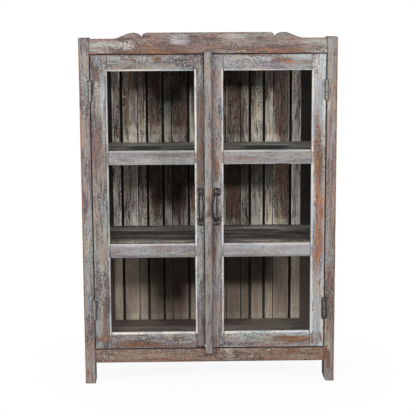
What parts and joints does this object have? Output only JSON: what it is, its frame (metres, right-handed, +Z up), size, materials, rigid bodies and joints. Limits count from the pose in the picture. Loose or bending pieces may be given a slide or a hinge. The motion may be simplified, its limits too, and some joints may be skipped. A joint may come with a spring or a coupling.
{
  "type": "almirah",
  "caption": "Tall glazed display almirah with a scalloped crest board, framed sides, planked back, shelves and a pair of hinged doors, each with three lights.",
  "frame": {"origin": "on the floor, under the middle of the overall box", "axes": "+Z up, +X along the front to the viewer's right, -Y towards the front with the doors"},
  "size_m": [1.067, 0.4314, 1.491],
  "materials": {
    "painted_wood": "worn chalky paint over hardwood",
    "dark_wood": "old dry unpainted hardwood",
    "glass": "clear sheet glass",
    "hinge_metal": "iron painted over with the doors",
    "iron": "blackened",
    "brass": "dull aged brass"
  },
  "bodies": {
    "case": {"front_left_post": "painted_wood", "front_right_post": "painted_wood", "back_left_post": "painted_wood", "back_right_post": "painted_wood", "crest_board": "painted_wood", "front_bottom_rail": "painted_wood", "back_top_rail": "dark_wood", "back_bottom_rail": "dark_wood", "back_left_stile": "dark_wood", "back_right_stile": "dark_wood", "left_side_top_rail": "painted_wood", "left_side_upper_rail": "painted_wood", "left_side_lower_rail": "painted_wood", "left_side_bottom_rail": "painted_wood", "left_side_panels": "painted_wood", "right_side_top_rail": "painted_wood", "right_side_upper_rail": "painted_wood", "right_side_lower_rail": "painted_wood", "right_side_bottom_rail": "painted_wood", "right_side_panels": "painted_wood", "left_cleats": "dark_wood", "right_cleats": "dark_wood", "top_boards": "painted_wood", "upper_shelf": "dark_wood", "lower_shelf": "dark_wood", "floor_boards": "dark_wood", "back_planks": "dark_wood", "backing_boards": "dark_wood", "left_case_leaves": "hinge_metal", "right_case_leaves": "hinge_metal", "left_hinge_pins": "hinge_metal", "right_hinge_pins": "hinge_metal", "turn_button_screw": "brass"},
    "left_door": {"left_door_hinge_stile": "painted_wood", "left_door_meeting_stile": "painted_wood", "left_door_top_rail": "painted_wood", "left_door_upper_rail": "painted_wood", "left_door_lower_rail": "painted_wood", "left_door_bottom_rail": "painted_wood", "left_door_glass": "glass", "left_door_beads": "dark_wood", "left_door_leaves": "hinge_metal", "left_door_pull": "iron"},
    "right_door": {"right_door_hinge_stile": "painted_wood", "right_door_meeting_stile": "painted_wood", "right_door_top_rail": "painted_wood", "right_door_upper_rail": "painted_wood", "right_door_lower_rail": "painted_wood", "right_door_bottom_rail": "painted_wood", "right_door_glass": "glass", "right_door_beads": "dark_wood", "right_door_leaves": "hinge_metal", "right_door_pull": "iron", "right_door_cover_strip": "painted_wood"},
    "latch": {"turn_button": "brass"}
  },
  "joints": [
    {"name": "left_door_swing", "type": "hinge", "parent": "case", "child": "left_door", "pos_m": [-0.4885, -0.18875, 0.3], "axis": [0, 0, -1], "range_deg": [0, 170]},
    {"name": "right_door_swing", "type": "hinge", "parent": "case", "child": "right_door", "pos_m": [0.4885, -0.18875, 0.3], "axis": [0, 0, 1], "range_deg": [0, 170]},
    {"name": "turn_button_turn", "type": "hinge", "parent": "case", "child": "latch", "pos_m": [0.136, -0.18765, 1.415], "axis": [0, 1, 0], "range_deg": [0, 90]}
  ]
}
